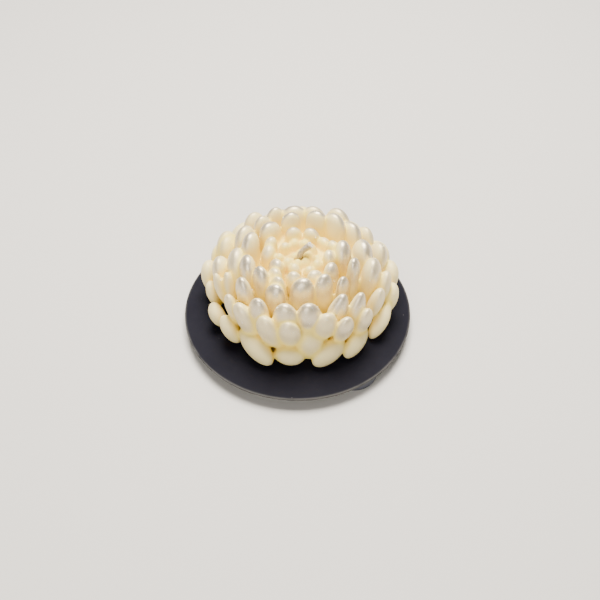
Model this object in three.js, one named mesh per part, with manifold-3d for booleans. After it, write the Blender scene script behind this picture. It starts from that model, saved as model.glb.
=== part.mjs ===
// A wax candle cast as a chrysanthemum head, standing on a thin round plate with
// three low feet. Millimetres, +Z up. The origin is on the table under the middle
// of the plate, and -Y is the side that a person looks at.

import * as THREE from 'three';
import { mergeVertices } from 'three/addons/utils/BufferGeometryUtils.js';
import Module from 'manifold-3d';

const wasm = await Module();
wasm.setup();

// ---- Driving dimensions -------------------------------------------------------

const CLEARANCE = 0.3; // gap all round the wick in its bore
const SEAT_GAP = 0.05; // gap between pieces that stand on each other

const PLATE_DIAMETER = 100;
const PLATE_THICKNESS = 1.2;
const PLATE_CHAMFER = 0.3; // broken edge, top and bottom of the rim
const PLATE_SIDES = 96;

const FOOT_COUNT = 3;
const FOOT_DIAMETER = 21;
const FOOT_HEIGHT = 5;
const FOOT_CHAMFER = 0.6;
const FOOT_SIDES = 40;
const FOOT_INSET = 0.8; // plate rim to the nearest point of a foot
const FOOT_TURN = -52.6; // azimuth of the first foot, degrees

const FLOWER_DIAMETER = 84; // over the tips of the skirt petals
const FLOWER_HEIGHT = 38; // seat to the highest ring of tips
const FLOWER_OFFSET = [0.9, 1.5]; // the casting stands a little off the plate's middle

const PETAL_FULLNESS = 0.7; // thickness of a petal over its width, unless its ring has its own
const PETAL_STAND = 0.5; // share of a petal that stands clear of the solid wax
const PETAL_SIDES = 7;
const PETAL_ROWS = 6;
const HEART_SEAT = 60; // diameter of the solid wax where it stands on the plate
const HEART_INSET = 4.5; // skirt tips to the widest of the solid wax, measured inwards
const HEART_BELLY = 8; // height of that widest place
const HEART_BACK = 2; // it lies towards the back, because the skirt is folded in at the front
const HEART_SIDES = 24;

const SKIRT_FOOT = 1; // foot of a skirt petal above the seat
const LYING_SIDE = 51; // a skirt petal that leans over further than this lies down, degrees
const LYING_LIFT = 2.2; // rise of its middle, besides half its height and a quarter of its width

const WICK_DIAMETER = 2.4;
const WICK_SIDES = 8;
const WICK_STEPS = 16;
const WICK_FOOT = 1.5; // wax left under the wick
const WICK_UPRIGHT = 3; // straight stretch above the solid wax, between the petals
const WICK_BEND = 3; // rise from there to where the bend pulls it over
const WICK_END = [4.8, 1, 6.2]; // free end from the top of the straight stretch

// Rings of petals from the middle outwards, and after them the odd petals that fill
// gaps. Reach is the share of the flower's radius and rise the share of its height
// at which the tips end; length and width are in millimetres, turn and lean in
// degrees. Skirt petals stand on the seat, so their length and lean set how high
// they end. Moved places single petals: turned about the middle, moved out, moved up, leant
// out and leant sideways, with a width and a length of their own where they differ.
const RINGS = [
  {
    count: 6, turn: 20, reach: 0.088, rise: 0.82, length: 9, width: 4.1, fullness: 1, lean: 0,
    moved: {},
  },
  {
    count: 10, turn: 5, reach: 0.2, rise: 0.87, length: 11, width: 5.3, fullness: 0.95, lean: 4,
    moved: {
      0: [-10, 0, -1.5, 0, 0], 1: [4, -1.2, 0.6, 5, 8], 3: [-5, 1, -1, 0, 5],
      4: [-12, 0.5, 0, 0, 0], 6: [5, -1, 1, 0, 6], 8: [4, 1, -1, 4, 0],
    },
  },
  {
    count: 12, turn: -100, reach: 0.335, rise: 0.94, length: 13, width: 7.4, fullness: 0.8, lean: 4,
    moved: {
      0: [1, 1, 0, 0, 0], 1: [5, 1.5, 0, 0, 0], 2: [3, 2.5, 0, 0, 0], 3: [0, -1, 0, 0, 0],
      4: [-5, 1, 0, 0, 0], 5: [-9, 0, -3, 0, 0], 6: [-14, -1, 0, 0, 0], 7: [-8, -1, 0, 0, 0],
      8: [14, 0, 0, 0, 0], 9: [4, -0.5, -1, 0, 0], 10: [17, -1.5, 0, 0, 0],
      11: [1, 2.5, 0, 0, 0],
    },
  },
  {
    count: 13, turn: -92, reach: 0.49, rise: 1, length: 17, width: 10.6, lean: 5,
    moved: {
      0: [5, 0, -0.5, 0, 0, 10], 1: [3, 0.5, 0, 0, 0, 8.2], 2: [-6, 4, -3, 0, 0, 6.6],
      3: [-12, 4, 0, 0, 0, 7.5], 4: [-22, -2, -0.7, 0, -14, 11], 5: [2, 3, 0.8, 0, 0],
      6: [-5, 1, 0.4, 0, 0], 7: [0, -1, 0.4, 0, 0, 8.8], 8: [4, -1.5, -0.5, 0, 0],
      9: [5, 1.5, 0, 0, -10], 10: [10, 2.5, -1.5, 0, -8], 11: [9, 1, 0, 0, 0, 8.4],
      12: [4, 3, -3, 0, 0, 9],
    },
  },
  {
    count: 16, turn: -102, reach: 0.7, rise: 0.87, length: 19, width: 12.4, lean: 9,
    moved: {
      0: [1, 1.5, 0, 0, 0, 10.4], 1: [-3, 1, 0, 0, 0, 10.6], 2: [-1, 1, -1, 0, 0, 9.4],
      3: [-9, 4, -3, 0, 0, 8.8], 4: [3, 2.5, 0, 0, 0], 5: [0, -1, 1, 0, 0], 6: [6, 0, 0, 0, 0],
      7: [1, 2.5, 0.5, 0, 0], 9: [-5, 0, 0, 0, 0], 10: [-11, 1, 0, 0, 0, 9.5],
      11: [-18, -2, 1, 0, 0, 9.5], 12: [-20, -1, 1, 0, -8], 13: [-13, -2, 0, 0, -8],
      14: [3, 0, 1.5, 0, 0, 9], 15: [1, 2, -1, 0, 0, 9.2],
    },
  },
  {
    count: 18, turn: -96, reach: 0.86, rise: 0.71, length: 22, width: 12.8, lean: 16,
    moved: {
      0: [-1, -1, 0, 0, 0, 9.6, 18], 1: [5, -2, 2, 0, 0, 10, 19],
      2: [-2.5, 1, -0.5, 0, 0, 8.4, 18], 3: [-6, 2, -2, 0, 0, 8, 18],
      4: [-8, 1.5, -0.5, 0, 0, 8.8, 20], 5: [-14, 2, 0, 0, 0, 10],
      6: [-7, 1.5, 0, 0, 0], 7: [-8, 1, 0, 0, 0], 11: [0, 2, 0, 0, 0], 12: [8, 2, 0, 0, 0],
      13: [-10, 0, 0, 0, 0], 14: [-8, -0.5, 0, 0, 0], 15: [9, -0.5, 0, 0, 0, 8],
      16: [0, -1, 0, 0, -12, 10.5, 21], 17: [0, -1, 0, 0, -12, 10.6, 22],
    },
  },
  {
    count: 16, turn: -94, reach: 1, rise: 0, length: 19, width: 14.5, lean: 20, skirt: true,
    moved: {
      0: [-2, -5.2, 0, 20, 4, 12.5, 12], 1: [15, -8.2, 0, -12, 64, 11.5, 16.5],
      2: [13, -7, 0, -12, 62, 10.5, 16], 3: [8, -1.5, 0, 5, 35, 9, 16],
      4: [-3, -0.5, 0, -1, 3, 11, 18], 5: [-8, 0, 0, 0, 0], 6: [-12, 0, 0, 0, 0],
      7: [-9, 0, 0, 0, 4], 8: [-6, 0, 0, 0, 0, 15.5], 12: [-8, 0, 0, -8, 0, 11, 18],
      13: [-1.5, -2.5, 0, 0, -6, 9.5, 12.5], 14: [-10, -4, 0, 0, -20, 10, 14.5],
      15: [-22, -8.8, 0, -12, -73, 12.5, 20],
    },
  },
  {
    count: 1, turn: -82, reach: 0.76, rise: 0.53, length: 18, width: 10.4, lean: 2,
    moved: { 0: [0, 0, 0, 0, 0] },
  },
  {
    count: 1, turn: -117, reach: 0.475, rise: 0.95, length: 14, width: 7.2, lean: 5,
    moved: { 0: [0, 0, 0, 0, 0] },
  },
  {
    count: 1, turn: 191, reach: 0.87, rise: 0.71, length: 20, width: 7, lean: 14,
    moved: { 0: [0, 0, 0, 0, 0] },
  },
  {
    count: 1, turn: 193, reach: 0.76, rise: 0.74, length: 20, width: 7, lean: 10,
    moved: { 0: [0, 0, 0, 0, 0] },
  },
  {
    count: 1, turn: 181, reach: 0.95, rise: 0, length: 15, width: 8.5, lean: 18, skirt: true,
    moved: { 0: [0, 0, 0, 0, 0] },
  },
  {
    count: 1, turn: -108, reach: 0.8, rise: 0, length: 8, width: 5.5, lean: 15, skirt: true,
    moved: { 0: [0, 0, 0, 0, -50] },
  },
];

// ---- Heights and places that follow from them ---------------------------------

const PLATE_BOTTOM = FOOT_HEIGHT + SEAT_GAP;
const PLATE_TOP = PLATE_BOTTOM + PLATE_THICKNESS;
const FLOWER_BOTTOM = PLATE_TOP + SEAT_GAP;
const FOOT_CIRCLE = PLATE_DIAMETER / 2 - FOOT_INSET - FOOT_DIAMETER / 2;

// ---- Helpers ------------------------------------------------------------------

const radians = THREE.MathUtils.degToRad;

// Turns a closed three.js geometry into a solid that can be joined and cut.
function solid(geometry) {
  const bare = geometry.clone();
  bare.deleteAttribute('normal');
  bare.deleteAttribute('uv');
  const merged = mergeVertices(bare);
  return new wasm.Manifold(new wasm.Mesh({
    numProp: 3,
    vertProperties: new Float32Array(merged.attributes.position.array),
    triVerts: new Uint32Array(merged.index.array),
  }));
}

// Turns such a solid back into a geometry.
function geometryOf(body) {
  const mesh = body.getMesh();
  const geometry = new THREE.BufferGeometry();
  geometry.setAttribute('position', new THREE.BufferAttribute(mesh.vertProperties, 3));
  geometry.setIndex(new THREE.BufferAttribute(mesh.triVerts, 1));
  geometry.computeVertexNormals();
  return geometry;
}

// Revolves [radius, height] points about the Z axis.
function turned(points, sides) {
  const profile = points.map(([radius, height]) => new THREE.Vector2(radius, height));
  return new THREE.LatheGeometry(profile, sides).rotateX(Math.PI / 2);
}

// A repeatable irregularity from -1 to 1 for petal i of a ring.
function wobble(i, ring, channel) {
  const x = 0.31 + i * 0.754878 + ring * 0.569840 + channel * 0.318310;
  return 2 * (x - Math.floor(x)) - 1;
}

// ---- The wax flower -----------------------------------------------------------

// A plump egg standing on the origin: its radius follows sin(a) as its height
// follows 1 - cos(a), and its section is an ellipse, wide along Y, thin along X.
function petalGeometry(length, width, fullness) {
  const points = [];
  for (let row = 0; row <= PETAL_ROWS; row += 1) {
    const a = Math.PI * row / PETAL_ROWS;
    const radius = row % PETAL_ROWS ? Math.sin(a) : 0;
    points.push([radius * width / 2, length * (1 - Math.cos(a)) / 2]);
  }
  return turned(points, PETAL_SIDES).scale(fullness, 1, 1);
}

// One petal of a ring, its tip on the ring and its foot down inside the wax.
function petal(ring, k, i) {
  const chance = [3, 0.8, 0.9, 5, 6].map((most, channel) => most * wobble(i, k, channel));
  const [turn, out, up, lean, side, ...own] = ring.moved[i] ?? chance;
  const [width = ring.width * (1 + 0.08 * wobble(i, k, 5)), length = ring.length] = own;
  const azimuth = ring.turn + (360 * i) / ring.count + turn;
  const outwards = radians(ring.lean + lean);
  const height = length * Math.cos(outwards) * Math.cos(radians(side));
  const lying = LYING_LIFT + height / 2 + width / 4;
  const stood = SKIRT_FOOT + (Math.abs(side) > LYING_SIDE ? lying : height);
  const rise = ring.skirt ? stood : ring.rise * FLOWER_HEIGHT + up;

  const place = new THREE.Matrix4()
    .makeRotationZ(radians(azimuth))
    .multiply(new THREE.Matrix4().makeTranslation(ring.reach * FLOWER_DIAMETER / 2 + out, 0, rise))
    .multiply(new THREE.Matrix4().makeRotationY(outwards))
    .multiply(new THREE.Matrix4().makeRotationX(radians(-side)))
    .multiply(new THREE.Matrix4().makeTranslation(0, 0, -length));
  return petalGeometry(length, width, ring.fullness ?? PETAL_FULLNESS).applyMatrix4(place);
}

// Where the petals of a ring come out of the solid wax: [radius, height].
function emergence(ring) {
  const lean = radians(ring.lean);
  const depth = ring.length * PETAL_STAND;
  return [
    ring.reach * FLOWER_DIAMETER / 2 - depth * Math.sin(lean),
    ring.rise * FLOWER_HEIGHT - depth * Math.cos(lean),
  ];
}

// The solid wax that the petals grow from: it swells from the seat to behind the
// skirt, runs up through the points where each ring comes out of it, and closes
// flat in the middle.
function heartProfile() {
  const belly = [FLOWER_DIAMETER / 2 - HEART_INSET, HEART_BELLY];
  const outline = RINGS.filter((ring) => ring.count > 1 && !ring.skirt).map(emergence).reverse();
  const [, topHeight] = outline.at(-1);
  return [[0, 0], [HEART_SEAT / 2, 0], belly, ...outline, [0, topHeight]];
}

function waxFlower() {
  let body = solid(turned(heartProfile(), HEART_SIDES).translate(0, HEART_BACK, 0));
  RINGS.forEach((ring, k) => {
    for (let i = 0; i < ring.count; i += 1) {
      body = body.add(solid(petal(ring, k, i)));
    }
  });
  // The seat is flat: whatever hangs below it is cut away.
  const below = new THREE.BoxGeometry(2 * FLOWER_DIAMETER, 2 * FLOWER_DIAMETER, FLOWER_HEIGHT);
  body = body.subtract(solid(below.translate(0, 0, -FLOWER_HEIGHT / 2)));
  // The wick's bore follows the wick, wider by the clearance and open at the top.
  const bore = alongWick(WICK_DIAMETER / 2 + CLEARANCE, WICK_FOOT - CLEARANCE);
  return geometryOf(body.subtract(solid(bore)));
}

// ---- The wick -----------------------------------------------------------------

// A round section carried up the middle of the wax, out between the innermost
// petals and over to its free end.
function alongWick(radius, foot) {
  const [, exit] = emergence(RINGS[0]);
  const upright = new THREE.Vector3(0, 0, exit + WICK_UPRIGHT);
  const bend = new THREE.Vector3(0, 0, exit + WICK_UPRIGHT + WICK_BEND);
  const end = new THREE.Vector3(...WICK_END).add(upright);
  const path = new THREE.CurvePath();
  path.add(new THREE.LineCurve3(new THREE.Vector3(0, 0, foot), upright));
  path.add(new THREE.QuadraticBezierCurve3(upright, bend, end));
  const corners = Array.from({ length: WICK_SIDES }, (_, i) => (2 * Math.PI * i) / WICK_SIDES);
  const section = new THREE.Shape(
    corners.map((a) => new THREE.Vector2(radius * Math.cos(a), radius * Math.sin(a))),
  );
  return new THREE.ExtrudeGeometry(section, {
    steps: WICK_STEPS,
    extrudePath: path,
    bevelEnabled: false,
  });
}

// ---- The plate and its feet ---------------------------------------------------

// A round disc with both edges broken by the same chamfer.
function disc(diameter, thickness, chamfer, sides) {
  const radius = diameter / 2;
  return turned([
    [0, 0],
    [radius - chamfer, 0],
    [radius, chamfer],
    [radius, thickness - chamfer],
    [radius - chamfer, thickness],
    [0, thickness],
  ], sides);
}

// ---- Materials ----------------------------------------------------------------

const wax = new THREE.MeshStandardMaterial({ color: 0xf0e4c8, roughness: 0.38, metalness: 0 });
const cotton = new THREE.MeshStandardMaterial({ color: 0xcbbda2, roughness: 0.7, metalness: 0 });
const blackLacquer = new THREE.MeshStandardMaterial({ color: 0x2b2a2f, roughness: 0.6, metalness: 0.1 });
const rubber = new THREE.MeshStandardMaterial({ color: 0x474c58, roughness: 0.7, metalness: 0 });

// ---- Assembly -----------------------------------------------------------------

const candle = new THREE.Group();

function place(name, geometry, material, x, y, z) {
  const mesh = new THREE.Mesh(geometry, material);
  mesh.name = name;
  mesh.position.set(x, y, z);
  candle.add(mesh);
}

place('wax_flower', waxFlower(), wax, ...FLOWER_OFFSET, FLOWER_BOTTOM);
place('wick', alongWick(WICK_DIAMETER / 2, WICK_FOOT), cotton, ...FLOWER_OFFSET, FLOWER_BOTTOM);

const plate = disc(PLATE_DIAMETER, PLATE_THICKNESS, PLATE_CHAMFER, PLATE_SIDES);
place('plate', plate, blackLacquer, 0, 0, PLATE_BOTTOM);

for (let i = 0; i < FOOT_COUNT; i += 1) {
  const azimuth = radians(FOOT_TURN + (360 * i) / FOOT_COUNT);
  const foot = disc(FOOT_DIAMETER, FOOT_HEIGHT, FOOT_CHAMFER, FOOT_SIDES);
  const x = FOOT_CIRCLE * Math.cos(azimuth);
  const y = FOOT_CIRCLE * Math.sin(azimuth);
  place(`plate_foot_${i + 1}`, foot, rubber, x, y, 0);
}

export default candle;
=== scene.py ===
# %% [markdown]
# # A wax candle shaped like a chrysanthemum head, on a thin black plate
#
# The candle is one casting of ivory wax: plump upright petals in rings round a
# shallow middle, with a short waxed wick leaning out of it. It stands on a thin
# round plate with low feet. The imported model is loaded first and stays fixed. It
# says where everything is, and each visible piece below is fitted to it.

import bpy
import numpy as np
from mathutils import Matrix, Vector


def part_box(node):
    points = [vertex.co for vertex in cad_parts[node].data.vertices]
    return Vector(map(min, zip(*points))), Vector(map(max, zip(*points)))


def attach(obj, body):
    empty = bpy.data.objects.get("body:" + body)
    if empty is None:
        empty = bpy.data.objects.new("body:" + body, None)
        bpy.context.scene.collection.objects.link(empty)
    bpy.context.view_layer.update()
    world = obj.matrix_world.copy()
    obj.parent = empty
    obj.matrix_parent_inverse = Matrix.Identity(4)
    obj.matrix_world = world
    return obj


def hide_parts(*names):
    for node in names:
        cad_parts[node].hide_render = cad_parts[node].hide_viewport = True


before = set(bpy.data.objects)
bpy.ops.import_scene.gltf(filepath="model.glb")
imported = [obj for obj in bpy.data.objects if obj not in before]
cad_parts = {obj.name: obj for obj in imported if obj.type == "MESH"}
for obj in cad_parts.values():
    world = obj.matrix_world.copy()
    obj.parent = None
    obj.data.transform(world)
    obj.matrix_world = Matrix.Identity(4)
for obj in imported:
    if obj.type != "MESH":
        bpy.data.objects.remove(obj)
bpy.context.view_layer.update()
MM = 0.001

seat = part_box("wax_flower")[0].z
plate_low, plate_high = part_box("plate")
plate_radius = (plate_high.x - plate_low.x) / 2
plate_top = plate_high.z
print("seat of the wax", round(seat / MM, 2), "mm, plate radius", round(plate_radius / MM, 2), "mm")

# %% [markdown]
# ## A mesh from arrays
#
# Every piece here starts as numpy arrays. A surface is a grid of points, one row
# for each step of the first parameter and one column for each step of the second.
# The faces only join neighbours in that grid, so one helper makes them for all.

# %% Helpers that turn arrays into meshes
def grid_faces(rows, columns):
    """Quads of a grid that closes round its columns: corner, next column, next row and back."""
    row, column = np.meshgrid(np.arange(rows - 1), np.arange(columns), indexing="ij")
    after = (column + 1) % columns
    here, above = row * columns, (row + 1) * columns
    return np.stack([here + column, here + after, above + after, above + column], -1).reshape(-1, 4)


def mesh_object(name, points, faces):
    """A smooth mesh object from an (n, 3) array of points and a list of faces."""
    mesh = bpy.data.meshes.new(name)
    mesh.from_pydata(points.tolist(), [], [list(map(int, face)) for face in faces])
    mesh.update()
    mesh.polygons.foreach_set("use_smooth", np.ones(len(mesh.polygons), bool))
    piece = bpy.data.objects.new(name, mesh)
    bpy.context.scene.collection.objects.link(piece)
    return piece


def set_value(piece, name, values):
    """Stores one number for each point of a piece, for its material to read."""
    attribute = piece.data.attributes.new(name, "FLOAT", "POINT")
    attribute.data.foreach_set("value", np.ascontiguousarray(values, dtype=np.float32))


def turned(name, profile, sides, centre=(0, 0, 0)):
    """Carries a (radius, height) profile round the Z axis: x = r cos a, y = r sin a, z = h.
    The profile runs up the outside from the axis to the axis, and both ends close in a point."""
    radius, height = np.asarray(profile, float).T
    angle = np.linspace(0, 2 * np.pi, sides, endpoint=False)
    ring = np.stack([np.cos(angle), np.sin(angle)], -1)
    body = radius[1:-1, None, None] * ring[None]
    z = np.broadcast_to(height[1:-1, None, None], body.shape[:2] + (1,))
    points = np.concatenate([body, z], -1).reshape(-1, 3)
    ends = np.array([[0, 0, height[0]], [0, 0, height[-1]]])
    rows = len(profile) - 2
    low, high = rows * sides, rows * sides + 1
    step = np.arange(sides)
    after = (step + 1) % sides
    last = (rows - 1) * sides
    faces = [list(f) for f in grid_faces(rows, sides)]
    faces += [[low, b, a] for a, b in zip(step, after)]
    faces += [[high, last + a, last + b] for a, b in zip(step, after)]
    return mesh_object(name, np.concatenate([points, ends]) + np.array(centre), faces)


# %% [markdown]
# ## Where the petals stand
#
# The petals stand in seven rings, with a few odd ones that fill gaps. Each ring has
# its own size, height and lean, and every petal is moved a little from its even place
# by a rule that looks irregular but repeats, because a mould made from a real flower
# is never even. The petals that give this flower its look are moved one by one. The
# lowest ring, the skirt, stands on the plate. In front one short petal bends forwards,
# and its neighbours lie down beside it.

# %% The rings of petals
FLOWER_RADIUS = 42.0
FLOWER_HEIGHT = 38.0
FLOWER_CENTRE = np.array([0.9, 1.5, seat / MM])
PETAL_FULLNESS = 0.7
SKIRT_FOOT = 1.0    # foot of a skirt petal above the plate, mm
LYING_SIDE = 0.9    # a skirt petal that leans sideways further than this lies down, radians
LYING_LIFT = 2.2    # rise of its middle, besides half its height and a quarter of its width
CHANCE = [3, 0.8, 0.9, 5, 6]    # the most that turn, out, up, lean and side vary by themselves


def ring_of(count, turn, reach, rise, length, width, lean, pearl, moved, **own):
    """The facts of one ring. Reach and rise are shares of the flower's radius and height, length and
    width are in millimetres, turn and lean in degrees, and pearl is how much powder it took. Own may
    hold stand, the share of a petal that stands clear of the solid wax, fullness and skirt.
    Moved holds, for a listed petal, how far it is turned about the middle, moved out, moved
    up, leant out and leant sideways, and its own width, length and slant where they differ."""
    return dict(count=count, turn=turn, reach=reach, rise=rise, length=length, width=width, lean=lean,
                pearl=pearl, moved=moved, **own)


def odd_petal(turn, reach, rise, length, width, lean, pearl, side=0, **own):
    """A ring of one petal, exactly where it is said to be."""
    return ring_of(1, turn, reach, rise, length, width, lean, pearl, {0: (0, 0, 0, 0, side)}, **own)


RINGS = [
    ring_of(6, 20, 0.088, 0.82, 9, 4.1, 0, 0.25, {}, stand=0.4, fullness=1.0),
    ring_of(10, 5, 0.2, 0.87, 11, 5.3, 4, 0.4, {
        0: (-10, 0, -1.5, 0, 0), 1: (4, -1.2, 0.6, 5, 8), 3: (-5, 1, -1, 0, 5),
        4: (-12, 0.5, 0, 0, 0), 6: (5, -1, 1, 0, 6), 8: (4, 1, -1, 4, 0),
    }, stand=0.42, fullness=0.95),
    ring_of(12, -100, 0.335, 0.94, 13, 7.4, 4, 0.6, {
        0: (1, 1, 0, 0, 0), 1: (5, 1.5, 0, 0, 0), 2: (3, 2.5, 0, 0, 0), 3: (0, -1, 0, 0, 0),
        4: (-5, 1, 0, 0, 0), 5: (-9, 0, -3, 0, 0), 6: (-14, -1, 0, 0, 0), 7: (-8, -1, 0, 0, 0),
        8: (14, 0, 0, 0, 0), 9: (4, -0.5, -1, 0, 0), 10: (17, -1.5, 0, 0, 0), 11: (1, 2.5, 0, 0, 0),
    }, stand=0.62, fullness=0.8),
    ring_of(13, -92, 0.49, 1.0, 17, 10.6, 5, 1.0, {
        0: (5, 0, -0.5, 0, 0, 10), 1: (3, 0.5, 0, 0, 0, 8.2), 2: (-6, 4, -3, 0, 0, 6.6),
        3: (-12, 4, 0, 0, 0, 7.5), 4: (-22, -2, -0.7, 0, -14, 11, 17, 0.2), 5: (2, 3, 0.6, 0, 0),
        6: (-5, 1, 0.4, 0, 0), 7: (0, -1, 0.4, 0, 0, 8.8), 8: (4, -1.5, -0.5, 0, 0),
        9: (5, 1.5, 0, 0, -10), 10: (10, 2.5, -1.5, 0, -8), 11: (9, 1, 0, 0, 0, 8.4),
        12: (4, 3, -3, 0, 0, 9),
    }, stand=0.95),
    ring_of(16, -102, 0.7, 0.87, 19, 12.4, 9, 0.8, {
        0: (1, 1.5, 0, 0, 0, 10.4), 1: (-3, 1, 0, 0, 0, 10.6), 2: (-1, 1, -1, 0, 0, 9.4, 19, 0.5),
        3: (-9, 4, -3, 0, 0, 8.8, 19, 0.45), 4: (3, 2.5, 0, 0, 0), 5: (0, -1, 1, 0, 0),
        6: (6, 0, 0, 0, 0), 7: (1, 2.5, 0.5, 0, 0), 9: (-5, 0, 0, 0, 0), 10: (-11, 1, 0, 0, 0, 9.5),
        11: (-18, -2, 1, 0, 0, 9.5), 12: (-20, -1, 1, 0, -8), 13: (-13, -2, 0, 0, -8),
        14: (3, 0, 1.5, 0, 0, 9), 15: (1, 2, -1, 0, 0, 9.2),
    }, stand=0.95),
    ring_of(18, -96, 0.86, 0.71, 22, 12.8, 16, 0.55, {
        0: (-1, -1, 0, 0, 0, 9.6, 18), 1: (5, -2, 2, 0, 0, 10, 19), 2: (-2.5, 1, -0.5, 0, 0, 8.4, 18),
        3: (-6, 2, -2, 0, 0, 8, 18), 4: (-8, 1.5, -0.5, 0, 0, 8.8, 20), 5: (-14, 2, 0, 0, 0, 10),
        6: (-7, 1.5, 0, 0, 0), 7: (-8, 1, 0, 0, 0), 11: (0, 2, 0, 0, 0), 12: (8, 2, 0, 0, 0),
        13: (-10, 0, 0, 0, 0), 14: (-8, -0.5, 0, 0, 0), 15: (9, -0.5, 0, 0, 0, 8),
        16: (0, -1, 0, 0, -12, 10.5, 21), 17: (0, -1, 0, 0, -12, 10.6, 22),
    }, stand=0.9),
    ring_of(16, -94, 1.0, 0, 19, 14.5, 20, 0.12, {
        0: (-2, -5.2, 0, 20, 4, 12.5, 12), 1: (15, -8.2, 0, -12, 64, 11.5, 16.5),
        2: (13, -7, 0, -12, 62, 10.5, 16), 3: (8, -1.5, 0, 5, 35, 9, 16, 0.5),
        4: (-3, -0.5, 0, -1, 3, 11, 18), 5: (-8, 0, 0, 0, 0), 6: (-12, 0, 0, 0, 0),
        7: (-9, 0, 0, 0, 4), 8: (-6, 0, 0, 0, 0, 15.5), 12: (-8, 0, 0, -8, 0, 11, 18),
        13: (-1.5, -2.5, 0, 0, -6, 9.5, 12.5), 14: (-10, -4, 0, 0, -20, 10, 14.5),
        15: (-22, -8.8, 0, -12, -73, 12.5, 20),
    }, skirt=True),
    odd_petal(-82, 0.76, 0.53, 18, 10.4, 2, 0.3),
    odd_petal(-117, 0.475, 0.95, 14, 7.2, 5, 0.6),
    odd_petal(191, 0.87, 0.71, 20, 7, 14, 0.4),
    odd_petal(193, 0.76, 0.74, 20, 7, 10, 0.5),
    odd_petal(181, 0.95, 0, 15, 8.5, 18, 0.12, skirt=True),
    odd_petal(-108, 0.8, 0, 8, 5.5, 15, 0.12, side=-50, skirt=True),
]


def wobble(i, ring, channel):
    """A repeatable irregularity from -1 to 1: the part after the point of an uneven sum."""
    x = 0.31 + i * 0.754878 + ring * 0.569840 + channel * 0.318310
    return 2 * (x - np.floor(x)) - 1


def petal_table():
    """One row for each petal: its tip, its axes (through its thickness, across, along), its half sizes
    along them, its ring and the slant of its tip."""
    tips, frames, halves, rings, slants = [], [], [], [], []
    for k, ring in enumerate(RINGS):
        for i in range(ring["count"]):
            chance = [most * wobble(i, k, channel) for channel, most in enumerate(CHANCE)]
            moved = ring["moved"].get(i, chance)
            turn, out, up, lean, side = moved[:5]
            width = moved[5] if len(moved) > 5 else ring["width"] * (1 + 0.08 * wobble(i, k, 5))
            length = moved[6] if len(moved) > 6 else ring["length"]
            azimuth = np.radians(ring["turn"] + 360 * i / ring["count"] + turn)
            lean, side = np.radians(ring["lean"] + lean), np.radians(side)
            outward = np.array([np.cos(azimuth), np.sin(azimuth), 0])
            across = np.array([-np.sin(azimuth), np.cos(azimuth), 0])
            axis = outward * np.sin(lean) + np.array([0, 0, np.cos(lean)])
            axis = axis * np.cos(side) + across * np.sin(side)
            wide = across - axis * (axis @ across)
            wide /= np.linalg.norm(wide)
            rise = ring["rise"] * FLOWER_HEIGHT + up
            if ring.get("skirt"):
                height = length * axis[2]
                lying = LYING_LIFT + height / 2 + width / 4
                rise = SKIRT_FOOT + (height if abs(side) < LYING_SIDE else lying)
            reach = ring["reach"] * FLOWER_RADIUS + out
            tips.append(outward * reach + np.array([0, 0, rise]))
            frames.append([np.cross(wide, axis), wide, axis])
            halves.append([width / 2 * ring.get("fullness", PETAL_FULLNESS), width / 2, length / 2])
            rings.append(k)
            slants.append(moved[7] if len(moved) > 7 else 0.12 * wobble(i, k, 6))
    return np.array(tips), np.array(frames), np.array(halves), np.array(rings), np.array(slants)


TIPS, AXES, HALVES, RING_OF, SLANTS = petal_table()
TIPS = TIPS + FLOWER_CENTRE
CENTRES = TIPS - AXES[:, 2] * HALVES[:, 2:]
print(len(TIPS), "petals, highest tip", round(float(TIPS[:, 2].max()), 1), "mm")

# %% [markdown]
# ## The wax as one melted-together surface
#
# Poured wax has no sharp inner corners: where two petals meet, the surface runs
# from one to the other in a soft web. So the flower isn't a pile of eggs. Each
# petal is a distance, how far a point is outside its egg, and all the distances
# are melted into one by a smooth minimum. A rough skin is made first, from plain
# eggs and the solid heart behind them, remeshed into one shell, and then every
# point of that shell slides along its normal until the melted distance is nought.

# %% Distances to the petals and to the heart
MELT = 0.5         # how far the web between two petals reaches, mm
TIP_CURL = 0.7     # how far a tip bends inwards, mm
FLARE = 0.12       # how much wider a petal gets for each half length below its egg
RUN_ON = 2.5       # how many half lengths it runs on
POINTS_AT_ONCE = 6000    # points measured in one go, to spare memory
WHOLE_BELOW = 0.75    # petals of rings with a lower rise than this are whole eggs
CLOSED = np.array([ring["rise"] < WHOLE_BELOW for ring in RINGS])[RING_OF]
BLUNT = np.where(RING_OF < 4, 1.35, 1.1)    # how blunt a tip is: 1 is an egg, more is squarer
HEART_BACK = 3.5   # the solid middle lies this far towards the back, mm

# The outline of the solid middle, or heart: (radius, height) from the seat upwards,
# through the points where the petals of each full ring come out of it.
HEART = [(0, 0), (31, 0), (33, 5)] + [
    (ring["reach"] * FLOWER_RADIUS - ring["length"] * ring["stand"] * np.sin(np.radians(ring["lean"])),
     ring["rise"] * FLOWER_HEIGHT - ring["length"] * ring["stand"] * np.cos(np.radians(ring["lean"])))
    for ring in RINGS[5::-1]]
HEART.append((0, HEART[-1][1]))
print("heart:", len(HEART), "corners, top", round(HEART[-1][1], 1), "mm above the seat")


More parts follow.
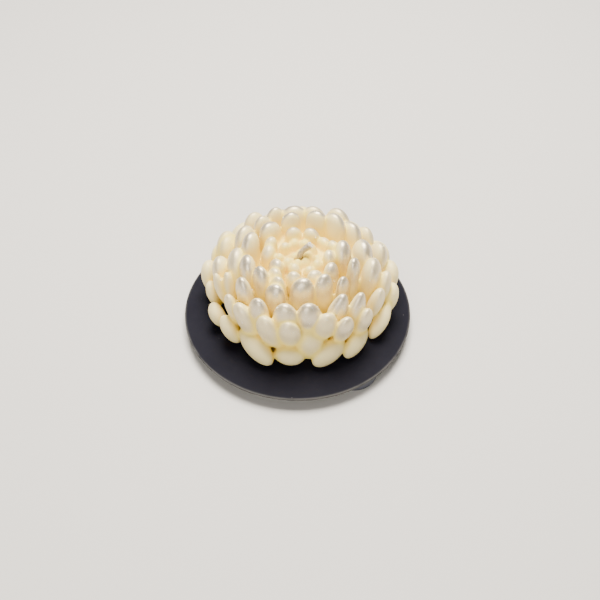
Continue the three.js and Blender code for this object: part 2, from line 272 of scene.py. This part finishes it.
def petal_distances(points):
    """Distance from each point to each petal, about: k (k - 1) / |grad|, where k is how many times
    larger the petal would have to be to reach the point. The tip half is half an egg, more or less
    blunt, which curls a little towards the middle of the flower and may slant. Below it an upper
    petal runs on down and flares, and a lower one is a whole egg."""
    local = np.einsum("npk,pak->npa", points[:, None] - CENTRES[None], AXES)
    along = local[..., 2] / HALVES[:, 2]
    local[..., 0] += TIP_CURL * np.clip(along, 0, None) ** 2
    flare = 1 + FLARE * np.clip(-along, 0, RUN_ON) * ~CLOSED
    half = HALVES[None] * np.stack([flare, flare, np.ones_like(flare)], -1)
    scaled = local / half
    below = np.where(CLOSED, np.minimum(along, 0), 0)
    slanted = along - SLANTS * scaled[..., 1] * np.clip(along, 0, 1)
    scaled[..., 2] = np.clip(slanted, 0, None) ** BLUNT + below
    k = np.linalg.norm(scaled, axis=-1) + 1e-9
    slope = np.linalg.norm(scaled / half, axis=-1) + 1e-9
    return k * (k - 1) / slope, along, local[..., 0] / HALVES[:, 0]


def outline_distance(radius, height, outline):
    """Signed distance from (radius, height) points to a closed outline, negative inside:
    the nearest of its straight edges, with the sign from how often a ray crosses them."""
    point = np.stack([radius, height], -1)
    nearest = np.full(len(point), np.inf)
    inside = np.zeros(len(point), bool)
    for start, end in zip(outline, outline[1:] + outline[:1]):
        start, end = np.array(start, float), np.array(end, float)
        edge = end - start
        share = np.clip((point - start) @ edge / (edge @ edge), 0, 1)
        nearest = np.minimum(nearest, np.linalg.norm(point - start - share[:, None] * edge, axis=1))
        if start[1] != end[1]:
            crossing = start[0] + (height - start[1]) * edge[0] / edge[1]
            inside ^= ((start[1] > height) != (end[1] > height)) & (radius < crossing)
    return np.where(inside, -nearest, nearest)


def melted(points, reach):
    """Rows of numbers, one column for each point: the smooth minimum of all distances,
    -reach * ln(sum(exp(-d / reach))), the plain minimum, the distance to the heart, the number of the
    nearest petal, how far up it the point is (1 at the tip) and how far round it (1 outside)."""
    parts = []
    for block in np.array_split(points, len(points) // POINTS_AT_ONCE + 1):
        eggs, along, outer = petal_distances(block)
        middle = block - FLOWER_CENTRE
        heart = outline_distance(np.hypot(middle[:, 0], middle[:, 1] - HEART_BACK), middle[:, 2], HEART)
        every = np.concatenate([eggs, heart[:, None]], 1)
        least = every.min(1)
        total = np.exp(-(every - least[:, None]) / reach).sum(1)
        near = eggs.argmin(1)
        row = np.arange(len(block))
        parts.append(np.stack([least - reach * np.log(total), least, heart, near,
                               along[row, near], outer[row, near]], -1))
    return np.concatenate(parts).T


# %% [markdown]
# ## The first rough skin
#
# An egg is a grid of latitude and longitude: at angle a from its foot the half
# width is sin a and the height is -cos a. All the eggs and the heart are put into
# one mesh, and Blender's voxel Remesh turns the overlapping shells into a single
# closed one with evenly spread faces.

# %% Rough skin, remeshed, then slid onto the melted surface
EGG_ROWS, EGG_SIDES = 14, 20
VOXEL = 0.66       # size of a face of the skin, mm
SLIDES = 5         # rounds of easing and sliding
EASE = 0.5         # share of the way to its neighbours that a point is eased in one round
LONGEST_SLIDE = 0.5    # mm in one round
HEART_SIDES = 96


def rough_skin():
    """All eggs as grids of rings, closed by a point at each end, and the heart as a turned outline."""
    a = np.linspace(0, np.pi, EGG_ROWS)[1:-1, None]
    g = np.linspace(0, 2 * np.pi, EGG_SIDES, endpoint=False)[None]
    below = a < np.pi / 2

    def unit_petal(wide, height):
        """Rings of half width wide at the given heights, then the middle of the foot and the tip."""
        rings = np.broadcast_arrays(wide * np.cos(g), wide * np.sin(g), height)
        rings = np.stack(rings, -1).reshape(-1, 3)
        return np.concatenate([rings, [[0, 0, rings[0, 2]]], [[0, 0, 1]]])

    run = RUN_ON * np.cos(a)
    whole = unit_petal(np.sin(a), -np.cos(a))
    running = unit_petal(np.where(below, 1 + FLARE * run, np.sin(a)), np.where(below, -run, -np.cos(a)))
    unit = np.where(CLOSED[:, None, None], whole, running)
    eggs = CENTRES[:, None] + np.einsum("pvk,pk,pkc->pvc", unit, HALVES, AXES)
    eggs[..., 2] = np.maximum(eggs[..., 2], FLOWER_CENTRE[2])
    rows, foot, tip = EGG_ROWS - 2, len(whole) - 2, len(whole) - 1
    step = np.arange(EGG_SIDES)
    after = (step + 1) % EGG_SIDES
    last = (rows - 1) * EGG_SIDES
    quads = grid_faces(rows, EGG_SIDES)
    faces = []
    for p in range(len(eggs)):
        shift = p * len(whole)
        faces += (quads + shift).tolist()
        faces += [[foot + shift, b + shift, a + shift] for a, b in zip(step, after)]
        faces += [[tip + shift, last + a + shift, last + b + shift] for a, b in zip(step, after)]
    return mesh_object("rough_skin", eggs.reshape(-1, 3) * MM, faces)


def one_shell(pieces, voxel):
    """Joins the pieces, remeshes them at the voxel size and returns points and faces as arrays."""
    with bpy.context.temp_override(active_object=pieces[0], selected_editable_objects=pieces):
        bpy.ops.object.join()
    joined = pieces[0]
    remesh = joined.modifiers.new("one shell", "REMESH")
    remesh.mode = "VOXEL"
    remesh.voxel_size = voxel * MM
    shell = joined.evaluated_get(bpy.context.evaluated_depsgraph_get()).to_mesh()
    points = np.empty(len(shell.vertices) * 3, np.float32)
    shell.vertices.foreach_get("co", points)
    faces = np.empty(len(shell.loops), np.int32)
    shell.loops.foreach_get("vertex_index", faces)
    sizes = np.empty(len(shell.polygons), np.int32)
    shell.polygons.foreach_get("loop_total", sizes)
    joined.evaluated_get(bpy.context.evaluated_depsgraph_get()).to_mesh_clear()
    bpy.data.objects.remove(joined)
    assert (sizes == 4).all(), "the voxel remesh makes only quads"
    return points.reshape(-1, 3) / MM, faces.reshape(-1, 4)


def normals_of(points, quads):
    """Point normals: the crossed diagonals of each quad, added up at its corners."""
    corner = points[quads]
    face = np.cross(corner[:, 2] - corner[:, 0], corner[:, 3] - corner[:, 1])
    total = [np.bincount(quads.ravel(), np.repeat(face[:, c], 4), len(points)) for c in range(3)]
    total = np.stack(total, -1)
    return total / (np.linalg.norm(total, axis=1, keepdims=True) + 1e-12)


def eased(points, quads, share):
    """Moves each point by a share of the way to the middle of the points it shares an edge with."""
    ends = np.concatenate([quads[:, [0, 1]], quads[:, [1, 2]], quads[:, [2, 3]], quads[:, [3, 0]]])
    ends = np.concatenate([ends, ends[:, ::-1]])
    count = np.bincount(ends[:, 0], minlength=len(points))[:, None]
    total = np.stack([np.bincount(ends[:, 0], points[ends[:, 1], c], len(points)) for c in range(3)], -1)
    return points + share * (total / count - points)


eggs = rough_skin()
heart = turned("heart", np.array(HEART) * MM, HEART_SIDES, (FLOWER_CENTRE + [0, HEART_BACK, 0]) * MM)
skin, quads = one_shell([eggs, heart], VOXEL)
for turn in range(SLIDES):
    skin = eased(skin, quads, EASE)
    distance = melted(skin, MELT)[0]
    skin = skin - normals_of(skin, quads) * np.clip(distance, -LONGEST_SLIDE, LONGEST_SLIDE)[:, None]
    skin[:, 2] = np.maximum(skin[:, 2], FLOWER_CENTRE[2])
print("wax skin:", len(skin), "points, left over", round(float(np.abs(distance).mean()), 3), "mm")

# %% [markdown]
# ## What the wax needs to know about itself
#
# The candle was brushed with pearl powder before it was lifted from the mould, so
# the powder sits where a brush reaches: on the outer faces and tips of the upper
# petals, where its grey tint is also painted shade. Deep gaps stay bare, and there a
# painted yellow glow and painted shade stand for light that enters the wax and comes
# out again after a long way through. Both are worked out per point and stored as
# numbers, so that the material only has to mix.

# %% The wax casting and its attributes
PEARL_OF_RING = np.array([ring["pearl"] for ring in RINGS])
GAP_REACH = 1.6       # how far a neighbour counts as closing a gap, mm
TIGHTEST = 1.6        # the gap value where it stops growing
HEART_REACH = 6.0     # how far from the heart the wax still looks deep, mm


def eased_step(low, high, x):
    """0 below low, 1 above high, and 3t^2 - 2t^3 between."""
    t = np.clip((x - low) / (high - low), 0, 1)
    return t * t * (3 - 2 * t)


wide_melt, least, heart_distance, nearest, along, outer = melted(skin, GAP_REACH)
nearest = nearest.astype(int)
chance = np.array([wobble(i, 3, 7) for i in range(len(TIPS))])
gap = np.clip((least - wide_melt) / GAP_REACH, 0, TIGHTEST)
# Nearness to the heart, which drives the painted yellow glow and shade deep in the flower.
depth = 1 - eased_step(0.0, HEART_REACH, heart_distance)
# The pearl mask: real pearl powder on outer faces and tips, whose grey tint also paints the shade on
# those faces.
pearl = PEARL_OF_RING[RING_OF[nearest]] * (1 + 0.25 * chance[nearest])
pearl = pearl * eased_step(-0.9, 0.4, along) * eased_step(-0.6, 0.2, outer)
pearl = pearl * (1 - eased_step(0.3, 0.9, gap))

wax = mesh_object("wax_casting", skin * MM, quads)
set_value(wax, "gap", gap)
set_value(wax, "depth", depth)
set_value(wax, "pearl", pearl)
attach(wax, "root")
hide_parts("wax_flower")
print("wax casting:", len(quads), "quads")

# %% [markdown]
# ## Crumbs of wax
#
# When a casting is lifted from its mould, small crumbs stick to it. They are balls of
# a few dozen faces, sunk into the skin at points picked by the repeatable rule, and
# only on open faces that look up or outwards.

# %% The crumbs
CRUMBS = 46
CRUMB_RADIUS, CRUMB_SPREAD = 0.27, 0.13
CRUMB_ROWS, CRUMB_SIDES = 7, 10
LOWEST_CRUMB, HIGHEST_CRUMB = 14, 43    # mm above the floor
LOWEST_LOOK = -0.1    # the least that the skin under a crumb faces up: 1 is straight up
OPENEST_GAP = 0.6     # the most closed place that takes a crumb
PROUD = 0.3           # how far the middle of a crumb stands off the skin, in crumb radii
spots = [int((0.5 + 0.5 * wobble(n, 2, 4)) * len(skin)) for n in range(CRUMBS * 3)]
outward_of = normals_of(skin, quads)
spots = [p for p in spots if LOWEST_CRUMB < skin[p, 2] < HIGHEST_CRUMB]
spots = [p for p in spots if outward_of[p, 2] > LOWEST_LOOK and gap[p] < OPENEST_GAP][:CRUMBS]
crumbs = []
for n, p in enumerate(spots):
    size = CRUMB_RADIUS + CRUMB_SPREAD * wobble(n, 5, 1)
    a = np.linspace(0, np.pi, CRUMB_ROWS)
    ball = np.stack([size * np.sin(a), -size * np.cos(a)], 1)
    centre = skin[p] + outward_of[p] * size * PROUD
    crumbs.append(turned("wax_crumbs", ball * MM, CRUMB_SIDES, centre * MM))
with bpy.context.temp_override(active_object=crumbs[0], selected_editable_objects=crumbs):
    bpy.ops.object.join()
crumbs = crumbs[0]
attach(crumbs, "root")
print("crumbs:", len(spots))

# %% [markdown]
# ## Sockets that do arithmetic
#
# A material is a chain of small sums. Written as nodes it is long, so one class
# wraps a socket: adding or multiplying two of them adds a Math node, and node()
# adds any other kind. A formula in the text is then the formula in the material.

# %% A wrapped socket and the shader it ends in
class Wire:
    """An output socket of a material. Its operators add Math nodes, node() adds any other."""

    def __init__(self, socket):
        self.socket = socket

    def node(self, kind, settings=None, sockets=None, output=0):
        """A new node: its settings first, then a value or a link for each named socket."""
        made = self.socket.id_data.nodes.new("ShaderNode" + kind)
        for name, value in (settings or {}).items():
            setattr(made, name, value)
        for name, value in (sockets or {}).items():
            named = [s for s in made.inputs if s.name == name and s.enabled]
            target = made.inputs[name] if isinstance(name, int) else named[0]
            if isinstance(value, Wire):
                self.socket.id_data.links.new(value.socket, target)
            else:
                target.default_value = (*value, 1) if target.type == "RGBA" else value
        return Wire([s for s in made.outputs if s.enabled][output])

    def math(self, operation, first, second):
        """One sum of two sockets or numbers."""
        return self.node("Math", {"operation": operation}, {0: first, 1: second})

    def __add__(self, other):
        return self.math("ADD", self, other)

    def __sub__(self, other):
        return self.math("SUBTRACT", self, other)

    def __mul__(self, other):
        return self.math("MULTIPLY", self, other)

    def __rsub__(self, other):
        return self.math("SUBTRACT", other, self)

    __radd__ = __add__
    __rmul__ = __mul__

    def between(self, low, high):
        """0 where this is below low, 1 where it is above high, and a smooth step between."""
        sockets = {"Value": self, "From Min": low, "From Max": high, "To Min": 0.0, "To Max": 1.0}
        return self.node("MapRange", {"interpolation_type": "SMOOTHSTEP"}, sockets)

    def mix(self, a, b):
        """Colour a where this is 0 and colour b where it is 1."""
        return self.node("Mix", {"data_type": "RGBA"}, {"Factor": self, "A": a, "B": b})

    def noise(self, scale, detail=2.0, roughness=0.5):
        """Cloudy noise round this position, from 0 to 1, in steps of 1 / scale metres."""
        sockets = {"Vector": self, "Scale": scale, "Detail": detail, "Roughness": roughness}
        return self.node("TexNoise", None, sockets)

    def bump(self, strength, metres):
        """A normal that is tipped as if this were a height of the given size."""
        return self.node("Bump", None, {"Height": self, "Strength": strength, "Distance": metres})


def finish_of(piece, name, make, **constants):
    """Gives a piece a material: make(position, value) returns what varies, as shader sockets."""
    material = bpy.data.materials.new(name)
    material.use_nodes = True
    nodes = material.node_tree.nodes
    shader = nodes["Principled BSDF"]
    position = Wire(nodes.new("ShaderNodeTexCoord").outputs["Object"])

    def value(attribute):
        """The number that set_value stored under this name."""
        return position.node("Attribute", {"attribute_name": attribute}, output=2)

    for socket, wire in make(position, value).items():
        material.node_tree.links.new(wire.socket, shader.inputs[socket])
    for socket, number in constants.items():
        shader.inputs[socket.replace("_", " ").title().replace("Ior", "IOR")].default_value = number
    piece.data.materials.clear()
    piece.data.materials.append(material)


# %% [markdown]
# ## Ivory wax with pearl powder
#
# Three colours make the body: ivory on the open faces, a painted yellow glow where a
# petal goes down into a gap or deep into the middle, and painted orange shade in the
# tightest creases. Over it lies the pearl, a silvery film, partly metallic, whose grey
# tint also paints the shade on the outer faces. It is broken up by fine grains of mica,
# with painted glints. The wax scatters light inside, so it gets subsurface scattering
# of a few millimetres.

# %% The wax finish
def wax_finish(position, value):
    """Ivory to a painted yellow glow to painted orange shade by how closed a place is, under a film of
    pearl that also paints shade, with painted mica glints.
    """
    gap_glow_and_shade, deep_glow_and_shade, pearl_and_shade = value("gap"), value("depth"), value("pearl")
    cloud = position.noise(120.0, 3.0)
    grain = position.noise(2600.0, 2.0)
    mica = position.node("TexVoronoi", None, {"Vector": position, "Scale": 2600.0}, output=1)
    glint = mica.node("SeparateColor", None, {"Color": mica}).between(0.9, 1.0)
    # Painted glow and shade: yellow in the gaps and deep in the middle, orange in the tightest creases.
    low = gap_glow_and_shade.between(0.1, 0.8) * 0.9 + deep_glow_and_shade * 0.25
    body = (low + cloud * 0.2 - 0.1).between(0.0, 1.0).mix((0.93, 0.785, 0.39), (0.95, 0.76, 0.19))
    body = gap_glow_and_shade.between(0.75, 1.5).mix(body, (0.89, 0.66, 0.14))
    # The pearl film is real powder, and its grey tint also paints the shade on the outer faces.
    pearl_film_and_shade = (pearl_and_shade * (cloud * 0.6 + 0.75) * (grain * 1.1 + 0.5)).between(0.0, 1.0)
    colour = pearl_film_and_shade.mix(body, (0.71, 0.62, 0.455))
    # White specks of mica are painted glints.
    colour = (glint * pearl_film_and_shade * 0.6).mix(colour, (0.97, 0.95, 0.92))
    rough = 0.52 - pearl_film_and_shade * 0.1 + (cloud - 0.5) * 0.12 + (grain - 0.5) * 0.1
    height = position.noise(700.0, 3.0) * 0.7 + grain * 0.3
    return {"Base Color": colour, "Roughness": rough, "Metallic": pearl_film_and_shade * 0.78,
            "Normal": height.bump(0.35, 0.00012)}


finish_of(wax, "pearled_wax", wax_finish, subsurface_weight=0.22, subsurface_scale=0.003,
          subsurface_radius=(1.0, 0.85, 0.45), ior=1.44)


def crumb_finish(position, value):
    """Bare wax, blotched between two ivories."""
    grain = position.noise(1500.0, 2.0)
    return {"Base Color": grain.mix((0.80, 0.70, 0.48), (0.92, 0.86, 0.70)),
            "Roughness": 0.35 + grain * 0.3}


finish_of(crumbs, "wax_crumb", crumb_finish, subsurface_weight=0.15, subsurface_scale=0.001)
print("wax finish:", len(wax.data.materials[0].node_tree.nodes), "nodes")

# %% [markdown]
# ## The wick
#
# The wick is braided cotton soaked in wax. It comes up through the middle of the
# casting, between the innermost petals, and leans over to one side, where it was
# cut off short. It is a tube along a curved path: the radius swells where a strand
# crosses over, and two sets of strands wind round it in opposite directions.

# %% A braided wick along its path
WICK_RADIUS = 1.2
WICK_UPRIGHT = 3    # straight stretch above the heart, mm
WICK_EXIT = HEART[-1][1] + WICK_UPRIGHT
WICK_BEND = 3       # rise from there to where the bend pulls it over, mm
WICK_ROOT = 8       # length that is sunk in the wax, mm
WICK_END = np.array([4.8, 1.0, 6.2])
WICK_ROWS, WICK_SIDES = 90, 36
TWIST = 1.7         # how far a strand winds round, radians for each mm
SPLAY = 0.22        # share by which the cut end is thicker


def wick_path(t):
    """Straight up to the exit for t below 0, then a curve: (1-t)^2 P0 + 2t(1-t) P1 + t^2 P2."""
    start = np.array([0, 0, WICK_EXIT])
    bend = start + [0, 0, WICK_BEND]
    end = start + WICK_END
    s = np.clip(t, 0, 1)[:, None]
    point = (1 - s) ** 2 * start + 2 * s * (1 - s) * bend + s ** 2 * end
    point[:, 2] += np.minimum(t, 0) * WICK_ROOT
    return point


def braided_wick():
    """Rows of rings along the path. The radius follows 0.88 + 0.12 max(|cos(2a + kx)|, |cos(2a - kx)|),
    which is two sets of strands, where x is the way along and k the twist. The end is splayed, and
    the last rows fold in to the ragged cut."""
    even = np.linspace(-1, 1, WICK_ROWS)
    t = np.concatenate([even, [1, 1, 1]])
    share = np.concatenate([np.ones(WICK_ROWS - 1), [0.97, 0.88, 0.6, 0.25]])
    centre = wick_path(t)
    ahead = np.gradient(wick_path(even), axis=0)
    ahead = np.concatenate([ahead, np.repeat(ahead[-1:], 3, 0)])
    ahead /= np.linalg.norm(ahead, axis=1, keepdims=True)
    side = np.cross(ahead, [0, 1, 0])
    side /= np.linalg.norm(side, axis=1, keepdims=True)
    up = np.cross(side, ahead)
    a = np.linspace(0, 2 * np.pi, WICK_SIDES, endpoint=False)[None]
    steps = np.linalg.norm(np.diff(centre, axis=0), axis=1)
    way = np.concatenate([[0], np.cumsum(steps)])[:, None]
    strands = np.maximum(np.abs(np.cos(2 * a + TWIST * way)), np.abs(np.cos(2 * a - TWIST * way)))
    flat = (1 + 0.10 * np.cos(2 * a + 0.5)) * (1 + SPLAY * eased_step(0.55, 0.95, t)[:, None])
    radius = WICK_RADIUS * share[:, None] * (0.88 + 0.12 * strands) * flat
    ragged = 0.22 * np.sin(5 * a + 1) + 0.16 * np.sin(9 * a + 2)
    push = np.where(share < 1, 1, 0)[:, None] * ragged * share[:, None]
    ring = np.cos(a)[..., None] * side[:, None] + np.sin(a)[..., None] * up[:, None]
    points = centre[:, None] + radius[..., None] * ring + push[..., None] * ahead[:, None]
    rows = len(points)
    ends = np.stack([centre[0], centre[-1] - 0.15 * ahead[-1]])
    low, high = rows * WICK_SIDES, rows * WICK_SIDES + 1
    step = np.arange(WICK_SIDES)
    after = (step + 1) % WICK_SIDES
    last = (rows - 1) * WICK_SIDES
    faces = grid_faces(rows, WICK_SIDES)[:, ::-1].tolist()
    faces += [[low, a, b] for a, b in zip(step, after)]
    faces += [[high, last + b, last + a] for a, b in zip(step, after)]
    points = (np.concatenate([points.reshape(-1, 3), ends]) + FLOWER_CENTRE) * MM
    piece = mesh_object("wick_braid", points, faces)
    cut = np.concatenate([np.repeat(eased_step(0.9, 0.98, t), WICK_SIDES), [0, 1]])
    set_value(piece, "cut", cut)
    set_value(piece, "strand", np.concatenate([strands.ravel(), [1, 1]]))
    return piece


wick = braided_wick()
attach(wick, "root")
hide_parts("wick")


def wick_finish(position, value):
    """Waxed cotton with painted shade in the grooves between the strands, light and frayed at the cut.
    """
    fibre = position.noise(2500.0, 3.0)
    strand, cut = value("strand"), value("cut")
    # Painted shade: the cotton is darker in the grooves between the strands.
    light = (strand * 0.6 + fibre * 0.6 - 0.2).between(0.0, 1.0)
    cotton = light.mix((0.26, 0.215, 0.15), (0.52, 0.45, 0.34))
    colour = (cut * (fibre + 0.35)).between(0.2, 0.9).mix(cotton, (0.74, 0.71, 0.67))
    return {"Base Color": colour, "Roughness": 0.55 - fibre * 0.15,
            "Normal": (fibre + strand * 0.5).bump(0.5, 0.0002)}


finish_of(wick, "waxed_cotton", wick_finish, subsurface_weight=0.15, subsurface_scale=0.002,
          subsurface_radius=(1.0, 0.7, 0.4))
print("wick:", len(wick.data.polygons), "faces")

# %% [markdown]
# ## The plate
#
# The plate is a thin disc of sheet metal, painted matte black. Its rim is rounded
# over, and a thin pale line along it is a painted highlight, broken up in places. It
# is a turned profile with a round rim: a quarter circle at each edge.

# %% The plate
def rounded_disc(radius, low, high, fillet_low, fillet_high, steps=6):
    """Outline of a disc from the axis up the outside to the axis. Each edge is a quarter circle:
    radius r (sin a - 1) in from the rim and r (1 - cos a) up from the face."""
    a = np.linspace(0, np.pi / 2, steps)
    under = [radius + fillet_low * (np.sin(a) - 1), low + fillet_low * (1 - np.cos(a))]
    over = [radius + fillet_high * (np.cos(a) - 1), high + fillet_high * (np.sin(a) - 1)]
    inner_low = [[0, low], [radius * 0.5, low], [radius - 3 * fillet_low, low]]
    inner_high = [[radius - 3 * fillet_high, high], [radius * 0.5, high], [0, high]]
    return np.concatenate([inner_low, np.stack(under, 1), np.stack(over, 1), inner_high])


EDGE = 0.3 * MM
PLATE_SIDES = 256
plate_outline = rounded_disc(plate_radius, plate_low.z, plate_high.z, EDGE, EDGE)
plate = turned("black_plate", plate_outline, PLATE_SIDES)
rim = np.linalg.norm([v.co.xy for v in plate.data.vertices], axis=1)
set_value(plate, "rim", eased_step(plate_radius - 0.5 * MM, plate_radius - 0.12 * MM, rim))
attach(plate, "root")
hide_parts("plate")


def plate_finish(position, value):
    """Matte black with faint clouds, sparse specks of dust and a painted highlight along the rim, broken
    up in places.
    """
    cloud = position.noise(45.0, 4.0, 0.6)
    grain = position.noise(3500.0, 2.0)
    dust = position.node("TexVoronoi", None, {"Vector": position, "Scale": 420.0})
    speck = (1 - dust.between(0.0, 0.09)) * position.noise(210.0, 0.0).between(0.62, 0.66)
    # A painted highlight along the rim, broken up by noise.
    painted_rim_highlight = value("rim") * position.noise(120.0, 3.0).between(0.2, 0.55)
    base = cloud.between(0.3, 0.75).mix((0.0048, 0.0046, 0.0095), (0.0090, 0.0088, 0.0145))
    base = painted_rim_highlight.mix(base, (0.085, 0.083, 0.08))
    base = speck.mix(base, (0.25, 0.245, 0.235))
    rough = 0.62 + (cloud - 0.5) * 0.2 + (grain - 0.5) * 0.1
    return {"Base Color": base, "Roughness": rough, "Normal": grain.bump(0.25, 0.00006)}


finish_of(plate, "matte_black_paint", plate_finish, specular_ior_level=0.06)
print("plate:", len(plate.data.polygons), "faces")

# %% [markdown]
# ## The feet
#
# Three low rubber pads hold the plate off the table. Each is turned like the plate,
# with a soft edge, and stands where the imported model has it.

# %% The feet
def foot_finish(position, value):
    """Grey rubber with a dusty bloom."""
    mould = position.noise(900.0, 3.0)
    dusty = position.noise(160.0, 3.0).between(0.4, 0.8)
    return {"Base Color": dusty.mix((0.052, 0.058, 0.078), (0.10, 0.108, 0.13)),
            "Roughness": 0.6 + mould * 0.2, "Normal": mould.bump(0.3, 0.0001)}


FOOT_UNDER, FOOT_OVER = 0.6 * MM, 0.8 * MM
FOOT_SIDES = 96
for number in (1, 2, 3):
    low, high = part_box(f"plate_foot_{number}")
    middle = (low + high) / 2
    radius = (high.x - low.x) / 2
    outline = rounded_disc(radius, low.z, high.z, FOOT_UNDER, FOOT_OVER)
    foot = turned(f"rubber_foot_{number}", outline, FOOT_SIDES, (middle.x, middle.y, 0))
    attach(foot, "root")
    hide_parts(f"plate_foot_{number}")
    finish_of(foot, f"foot_rubber_{number}", foot_finish)
print("feet: 3, radius", round(radius / MM, 1), "mm")

# %% [markdown]
# ## Floor and light
#
# The floor is plain and pale. One large soft light hangs above and a little behind
# the candle, which puts the shine on the top edge of every petal, and a weak one in
# front opens the shadows.

# %% The stage
def soft_light(name, place, target, size, power, colour):
    """A square area light at a place, turned to face a target."""
    light = bpy.data.lights.new(name, "AREA")
    light.size, light.energy, light.color = size, power, colour
    lamp = bpy.data.objects.new(name, light)
    lamp.location = place
    lamp.rotation_euler = (Vector(target) - Vector(place)).to_track_quat("-Z", "Y").to_euler()
    bpy.context.scene.collection.objects.link(lamp)


def floor_finish(position, value):
    """A pale floor that is very slightly uneven."""
    return {"Base Color": position.noise(3.0, 2.0).mix((0.62, 0.60, 0.57), (0.66, 0.64, 0.61))}


corners = np.array([[-2, -2, 0], [2, -2, 0], [2, 2, 0], [-2, 2, 0]], float)
floor = mesh_object("floor", corners, [[0, 1, 2, 3]])
finish_of(floor, "pale_floor", floor_finish, roughness=0.8)

world = bpy.data.worlds.new("soft room")
world.use_nodes = True
world.node_tree.nodes["Background"].inputs["Color"].default_value = (0.86, 0.83, 0.77, 1)
world.node_tree.nodes["Background"].inputs["Strength"].default_value = 0.22
bpy.context.scene.world = world
soft_light("overhead", (0.02, 0.22, 0.7), (0, 0, 0.03), 0.42, 20.5, (1.0, 0.95, 0.87))
soft_light("front_fill", (-0.25, -0.8, 0.45), (0, 0, 0.03), 0.6, 6.0, (1.0, 0.96, 0.90))
print("stage: a floor, a soft room and 2 lights")

# %% [markdown]
# ## The camera
#
# The camera looks down at the plate from the front, at about 48 degrees. It is 400 mm
# away, which makes the near petals clearly larger than the far ones.

# %% The camera
AIM = Vector((1.08, 4.71, 6.25)) * MM
CAMERA_DISTANCE = 400 * MM
CAMERA_RISE = np.radians(47.88)
lens = bpy.data.cameras.new("camera")
lens.lens = 53.48
lens.sensor_width = 36.0
camera = bpy.data.objects.new("camera", lens)
camera.location = AIM + CAMERA_DISTANCE * Vector((0, -np.cos(CAMERA_RISE), np.sin(CAMERA_RISE)))
camera.rotation_euler = (np.pi / 2 - CAMERA_RISE, 0, 0)
bpy.context.scene.collection.objects.link(camera)
bpy.context.scene.camera = camera
print("camera:", lens.lens, "mm lens,", CAMERA_DISTANCE / MM, "mm away")
